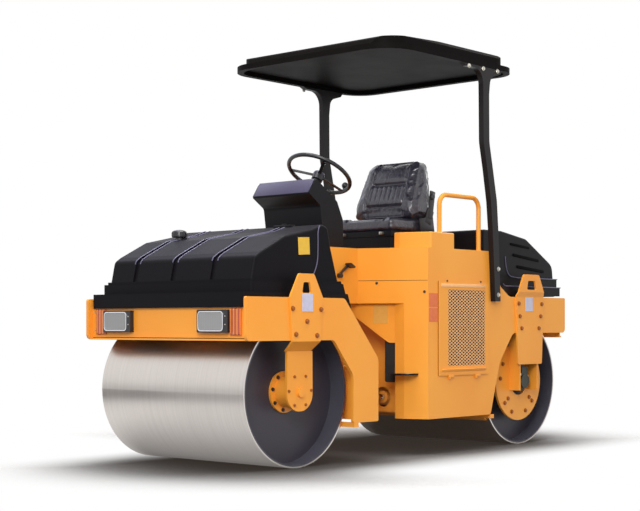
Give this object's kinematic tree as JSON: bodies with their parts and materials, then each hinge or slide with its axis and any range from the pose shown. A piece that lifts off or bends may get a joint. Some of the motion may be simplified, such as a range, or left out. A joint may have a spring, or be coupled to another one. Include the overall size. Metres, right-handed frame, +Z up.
{
  "type": "tandem road roller",
  "caption": "Ride-on tandem vibratory roller with centre articulation, smooth steel drums, stepped water tank, louvred rear hood, open seat and flat canopy.",
  "frame": {"origin": "on the ground below the middle of the machine, at the centre of its bounding box", "axes": "+X forward, +Y to the machine's left, +Z up"},
  "size_m": [3.16, 1.416, 2.585],
  "materials": {
    "orange_paint": "glossy sprayed orange enamel",
    "drum_steel": "machined rolling face, slate painted end discs",
    "black_moulding": "moulded, fine satin grain",
    "canopy_moulding": "moulded, satin",
    "black_paint": "satin black paint on steel",
    "flap_rubber": "sheet rubber",
    "grip_plastic": "moulded",
    "seat_vinyl": "glossy black vinyl",
    "engine_iron": "painted casting",
    "motor_iron": "dark painted casting",
    "rod_chrome": "hard chrome",
    "headlamp_glass": "ribbed lens in a black bezel",
    "amber_lens": "moulded amber lens"
  },
  "bodies": {
    "rear_frame": {"rear_side_plates": "orange_paint", "rear_bulkhead": "orange_paint", "rear_crossmembers": "orange_paint", "rear_bumper": "orange_paint", "rear_lamps": "amber_lens", "engine": "engine_iron", "platform": "orange_paint", "corner_panels": "orange_paint", "splash_flaps": "flap_rubber", "steps": "black_paint", "handrails": "orange_paint", "grilles": "orange_paint", "seat_base": "black_paint", "seat_cushion": "seat_vinyl", "seat_back": "seat_vinyl", "console": "black_paint", "control_levers": "black_paint", "canopy": "canopy_moulding", "canopy_posts": "black_paint", "rear_hub_arm": "orange_paint", "rear_drive_arm": "orange_paint", "rear_drive_bracket": "orange_paint", "rear_drive_motor": "motor_iron", "rear_scraper": "black_paint", "steering_barrel": "orange_paint", "hood_hinges": "orange_paint"},
    "rear_hood": {"rear_hood": "black_moulding"},
    "rear_drum": {"rear_drum": "drum_steel", "rear_hub": "orange_paint"},
    "steering_wheel": {"steering_wheel": "grip_plastic"},
    "centre_knuckle": {"centre_knuckle": "orange_paint"},
    "steering_rod": {"steering_rod": "rod_chrome"},
    "front_frame": {"front_side_plates": "orange_paint", "front_crossbeam": "orange_paint", "front_bumper": "orange_paint", "headlamps": "headlamp_glass", "front_indicators": "amber_lens", "front_tank": "black_moulding", "tank_cap": "black_moulding", "front_hub_arm": "orange_paint", "front_drive_arm": "orange_paint", "front_drive_bracket": "orange_paint", "front_drive_motor": "motor_iron", "front_scraper": "black_paint"},
    "front_drum": {"front_drum": "drum_steel", "front_hub": "orange_paint"}
  },
  "joints": [
    {"name": "steer", "type": "hinge", "parent": "rear_frame", "child": "centre_knuckle", "pos_m": [0.095, 0, 0.405], "axis": [0, 0, 1], "range_deg": [-30, 30]},
    {"name": "oscillate", "type": "hinge", "parent": "centre_knuckle", "child": "front_frame", "pos_m": [0.095, 0, 0.405], "axis": [1, 0, 0], "range_deg": [-8, 8]},
    {"name": "front_drum_roll", "type": "hinge", "parent": "front_frame", "child": "front_drum", "pos_m": [1.1, 0, 0.425], "axis": [0, 1, 0], "continuous": true},
    {"name": "rear_drum_roll", "type": "hinge", "parent": "rear_frame", "child": "rear_drum", "pos_m": [-1.126, 0, 0.425], "axis": [0, 1, 0], "continuous": true},
    {"name": "rod_slide", "type": "slide", "parent": "rear_frame", "child": "steering_rod", "axis": [1, 0, 0], "range_m": [-0.135, 0.135]},
    {"name": "hood_lift", "type": "hinge", "parent": "rear_frame", "child": "rear_hood", "pos_m": [-1.56, 0, 1.003], "axis": [0, -1, 0], "range_deg": [0, 50]},
    {"name": "wheel_turn", "type": "hinge", "parent": "rear_frame", "child": "steering_wheel", "pos_m": [0.248, 0, 1.76], "axis": [-0.515, 0, 0.8572], "continuous": true}
  ],
  "couplings": [
    {"joint": "rod_slide", "follows": "steer", "m_per_rad": -0.25}
  ]
}
